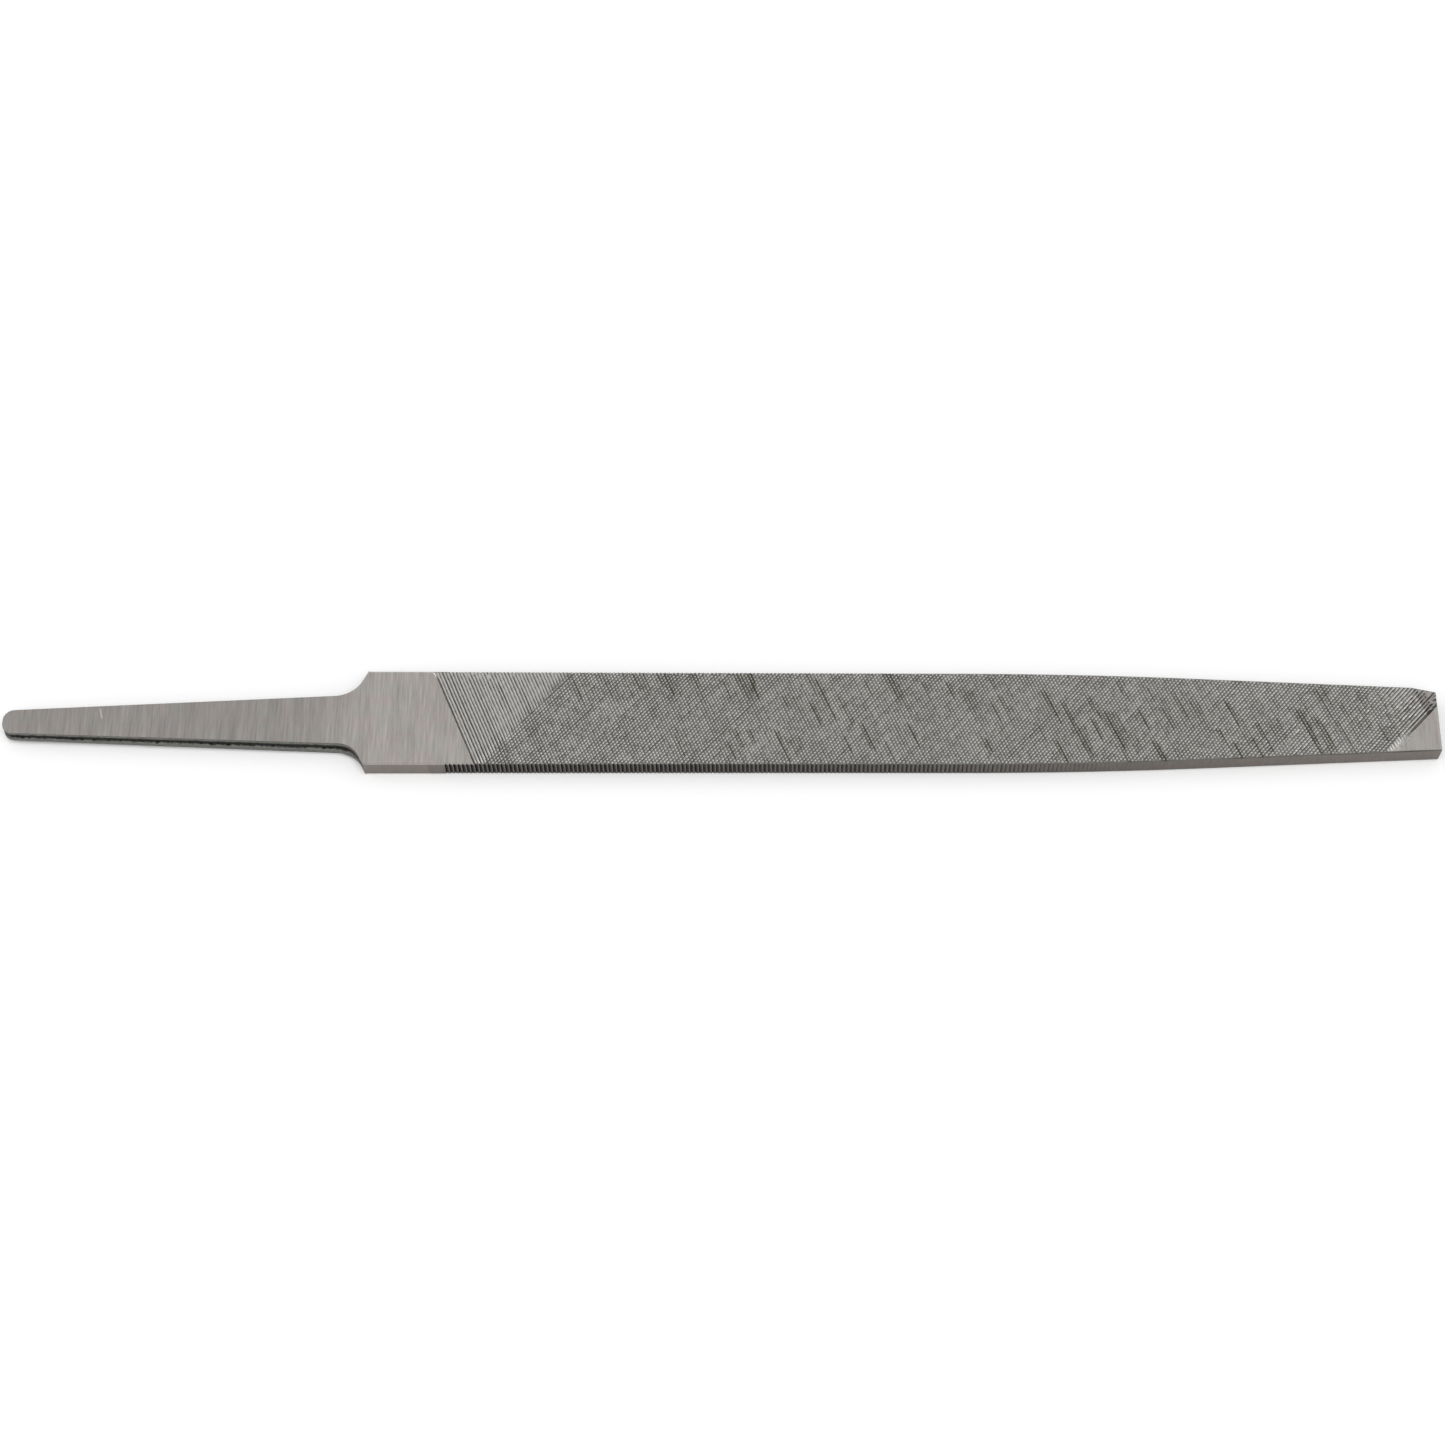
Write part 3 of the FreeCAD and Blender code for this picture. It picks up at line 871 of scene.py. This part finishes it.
class FLATFILE_OT_heel(bpy.types.Operator):
    """Give the bare heel its ground finish, with painted shade on its sides"""

    bl_idname = "flat_file.heel"
    bl_label = "Heel"

    def execute(self, context):
        assign(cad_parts["heel"], bpy.data.materials["ground_steel_and_painted_side_shade"])
        return {"FINISHED"}


class FLATFILE_OT_teeth(bpy.types.Operator):
    """Cut the teeth of the faces and edges"""

    bl_idname = "flat_file.teeth"
    bl_label = "Teeth"

    def execute(self, context):
        s = sizes()
        waist = s.body_length * WAIST_SHARE
        for node, start, end in (("body", s.heel_length, waist), ("point", waist, s.body_length)):
            bounds = np.linspace(start, end, SPANS + 1)
            for number in range(SPANS):
                made = toothed_zone(f"toothed_{node}_{number + 1}", bounds[number], bounds[number + 1])
                assign(made, bpy.data.materials["toothed_steel_and_painted_shade"])
                finish_piece(made, "cut_steel", node)
        return {"FINISHED"}


class FLATFILE_OT_materials(bpy.types.Operator):
    """Make the finishes of the steel, with shade painted into them"""

    bl_idname = "flat_file.materials"
    bl_label = "Finishes"

    def execute(self, context):
        ground_steel_and_painted_side_shade()
        toothed_steel_and_painted_shade()
        sheared_steel_and_painted_shadow()
        return {"FINISHED"}


class FLATFILE_OT_stage(bpy.types.Operator):
    """Set up the floor, the lights and the camera"""

    bl_idname = "flat_file.stage"
    bl_label = "Stage"

    def execute(self, context):
        scene = context.scene
        corners = np.array([(-1, -1, 0), (1, -1, 0), (1, 1, 0), (-1, 1, 0)]) * FLOOR_HALF
        corners[:, 2] = -FLOOR_DROP
        floor = make_object("floor", corners, np.array([[0, 1, 2, 3]]))
        f = Finish("floor")
        tone = tuple(colours().floor)
        grain = f.noise(f.place(f.x * 0.02, f.y * 0.02, f.z), 1.0)
        assign(floor, f.steel(f.mix(grain, tone, tuple(v * 0.995 for v in tone)), 0.9, metallic=0.0))
        for name, place, size, power in LAMPS:
            lamp = bpy.data.lights.new(name, "AREA")
            lamp.size = size
            lamp.energy = power
            made = bpy.data.objects.new(name, lamp)
            made.location = place
            made.rotation_mode = "QUATERNION"
            made.rotation_quaternion = (-Vector(place)).to_track_quat("-Z", "Y")
            scene.collection.objects.link(made)
        world = bpy.data.worlds.new("studio")
        scene.world = world
        world.use_nodes = True
        back = world.node_tree.nodes["Background"]
        back.inputs["Color"].default_value = (1.0, 1.0, 1.0, 1.0)
        back.inputs["Strength"].default_value = WORLD_STRENGTH
        camera = bpy.data.cameras.new("camera")
        camera.lens = CAMERA_LENS
        camera.sensor_width = 36.0
        camera.clip_start = 0.01
        camera.clip_end = 20.0
        eye = bpy.data.objects.new("camera", camera)
        eye.location = CAMERA_PLACE
        eye.rotation_euler = [math.radians(v) for v in CAMERA_DEGREES]
        scene.collection.objects.link(eye)
        scene.camera = eye
        scene.view_settings.view_transform = "Standard"
        return {"FINISHED"}


class FLATFILE_PT_sidebar(bpy.types.Panel):
    """Lists the steps that build the flat file"""

    bl_label = "Flat file"
    bl_idname = "FLATFILE_PT_sidebar"
    bl_space_type = "VIEW_3D"
    bl_region_type = "UI"
    bl_category = "Flat file"

    def draw(self, context):
        for group in (sizes(), teeth(), colours()):
            box = self.layout.box()
            for key in group.__annotations__:
                box.prop(group, key)
        for step in STEPS:
            self.layout.operator(step.bl_idname)


STEPS = (FLATFILE_OT_materials, FLATFILE_OT_tang, FLATFILE_OT_heel, FLATFILE_OT_teeth, FLATFILE_OT_stage)
GROUPS = {
    "flat_file_sizes": FlatFileSizes,
    "flat_file_teeth": FlatFileTeeth,
    "flat_file_colours": FlatFileColours,
}


def register():
    for group in GROUPS.values():
        bpy.utils.register_class(group)
    for step in STEPS + (FLATFILE_PT_sidebar,):
        bpy.utils.register_class(step)
    for name, group in GROUPS.items():
        setattr(bpy.types.Scene, name, bpy.props.PointerProperty(type=group))


def unregister():
    for name in GROUPS:
        delattr(bpy.types.Scene, name)
    for step in (FLATFILE_PT_sidebar,) + STEPS:
        bpy.utils.unregister_class(step)
    for group in GROUPS.values():
        bpy.utils.unregister_class(group)


def main():
    register()
    bpy.ops.flat_file.materials()
    bpy.ops.flat_file.tang()
    bpy.ops.flat_file.heel()
    bpy.ops.flat_file.teeth()
    bpy.ops.flat_file.stage()


if __name__ == "__main__":
    main()
